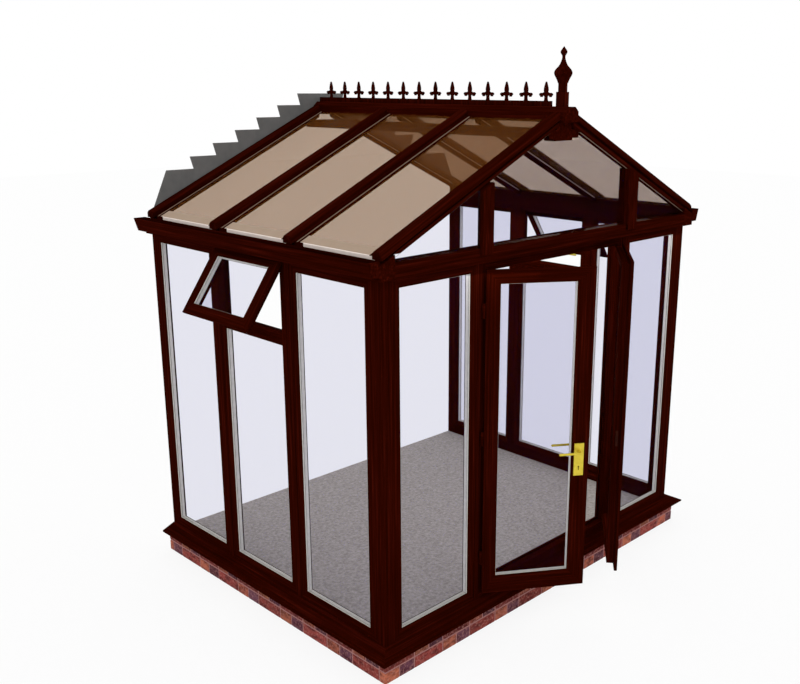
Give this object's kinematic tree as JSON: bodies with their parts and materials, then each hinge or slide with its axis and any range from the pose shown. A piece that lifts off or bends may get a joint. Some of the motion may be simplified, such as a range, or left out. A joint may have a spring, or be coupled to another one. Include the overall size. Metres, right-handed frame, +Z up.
{
  "type": "garden conservatory",
  "caption": "Gable-fronted conservatory with dark woodgrain frames, bronze roof sheets, crested ridge, brick plinth and a pair of glazed doors standing ajar.",
  "frame": {"origin": "centre of the plan at ground level, on the underside of the floor slab", "axes": "+Z up, -Y out of the gable front with the doors, +Y towards the house wall, +X to the right seen from the front"},
  "size_m": [3.3312, 2.6341, 3.3484],
  "materials": {
    "woodgrain": "dark rosewood woodgrain foil on plastic sections",
    "brick": "mixed facing bricks in mortar",
    "concrete": "speckled grey floor",
    "glazing": "clear sealed double glazing",
    "bronze_sheet": "bronze tinted twin-wall sheet",
    "cream_trim": "cream end closers",
    "lead": "dull grey lead sheet",
    "brass": "polished gold"
  },
  "bodies": {
    "building": {"plinth_left": "brick", "plinth_front": "brick", "plinth_right": "brick", "floor_slab": "concrete", "sill_left": "woodgrain", "sill_front": "woodgrain", "sill_right": "woodgrain", "corner_posts": "woodgrain", "couplers": "woodgrain", "wall_channels": "woodgrain", "left_rear_frame": "woodgrain", "left_middle_frame": "woodgrain", "left_front_frame": "woodgrain", "right_rear_frame": "woodgrain", "right_middle_frame": "woodgrain", "right_front_frame": "woodgrain", "front_left_frame": "woodgrain", "front_right_frame": "woodgrain", "door_jambs": "woodgrain", "door_head": "woodgrain", "door_threshold": "woodgrain", "left_glass": "glazing", "right_glass": "glazing", "front_glass": "glazing", "left_vent_sash": "woodgrain", "right_vent_sash": "woodgrain", "vent_glass": "glazing", "vent_handles": "brass", "left_eaves_beam": "woodgrain", "right_eaves_beam": "woodgrain", "left_gutter": "woodgrain", "right_gutter": "woodgrain", "gable_beam": "woodgrain", "gable_mullions": "woodgrain", "gable_glass": "glazing", "left_roof_bars": "woodgrain", "right_roof_bars": "woodgrain", "left_roof_sheets": "bronze_sheet", "right_roof_sheets": "bronze_sheet", "sheet_closers": "cream_trim", "ridge_cap": "woodgrain", "ridge_tie": "woodgrain", "ridge_cresting": "woodgrain", "finial": "woodgrain", "flashing": "lead"},
    "left_door": {"left_door_leaf": "woodgrain", "left_door_glass": "glazing", "left_door_plates": "brass"},
    "right_door": {"right_door_leaf": "woodgrain", "right_door_glass": "glazing", "lock_keep": "brass"},
    "door_lever": {"left_door_lever": "brass"}
  },
  "joints": [
    {"name": "left_door_hinge", "type": "hinge", "parent": "building", "child": "left_door", "pos_m": [-0.6625, -1.111, 1.2], "axis": [0, 0, -1], "range_deg": [-34.6, 65.4]},
    {"name": "right_door_hinge", "type": "hinge", "parent": "building", "child": "right_door", "pos_m": [0.6625, -1.111, 1.2], "axis": [0, 0, 1], "range_deg": [-38.1, 61.9]},
    {"name": "lever_turn", "type": "hinge", "parent": "left_door", "child": "door_lever", "pos_m": [-0.17614, -1.41858, 1.09], "axis": [-0.5678, -0.8231, 0], "range_deg": [0, 40], "stiffness_Nm_per_rad": 1.2, "springref_deg": -34.38}
  ]
}
